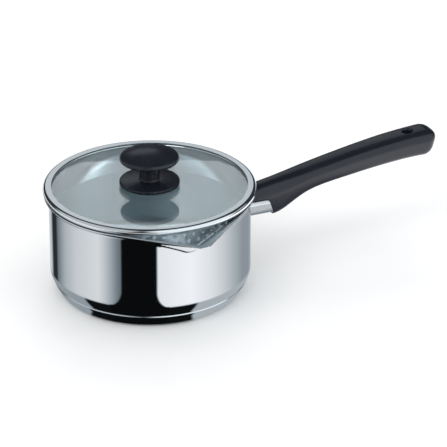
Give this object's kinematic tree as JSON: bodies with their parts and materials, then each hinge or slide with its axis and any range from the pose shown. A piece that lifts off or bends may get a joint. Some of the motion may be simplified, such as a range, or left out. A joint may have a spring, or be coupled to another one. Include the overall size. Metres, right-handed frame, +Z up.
{
  "type": "saucepan",
  "caption": "Small steel saucepan with a sandwich base, a pouring lip, a long black handle and a glass straining lid with a black knob.",
  "frame": {"origin": "centre of the underside of the base, where the pan stands", "axes": "+X from the pan's axis along the handle, +Z up along the pan's axis, the pouring lip points to -Y"},
  "size_m": [0.3372, 0.1966, 0.1182],
  "materials": {
    "polished_steel": "mirror polished stainless steel",
    "satin_steel": "satin stainless steel",
    "zinc_steel": "zinc plated steel",
    "aluminium_disc": "plain, hidden inside the base",
    "phenolic": "black moulded phenolic, semi matt with a soft sheen",
    "lid_glass": "clear toughened glass with a faint blue-green edge",
    "brass": "turned",
    "silicone": "grey silicone"
  },
  "bodies": {
    "pan": {"pan_body": "polished_steel", "base_core": "aluminium_disc", "base_cap": "polished_steel", "handle_bracket": "satin_steel", "handle_nut": "zinc_steel", "flame_guard": "satin_steel", "handle_grip": "phenolic", "handle_washer": "zinc_steel", "handle_screw": "zinc_steel"},
    "lid_hub": {"knob_washer": "zinc_steel"},
    "lid": {"lid_glass": "lid_glass", "lid_band": "polished_steel", "knob_plate": "phenolic", "knob": "phenolic", "knob_insert": "brass", "knob_seal_upper": "silicone", "knob_seal_lower": "silicone", "knob_screw": "zinc_steel"}
  },
  "joints": [
    {"name": "lid_lift", "type": "slide", "parent": "pan", "child": "lid_hub", "axis": [0, 0, 1], "range_m": [0, 0.12]},
    {"name": "lid_turn", "type": "hinge", "parent": "lid_hub", "child": "lid", "pos_m": [0, 0, 0.0832], "axis": [0, 0, 1], "continuous": true}
  ]
}
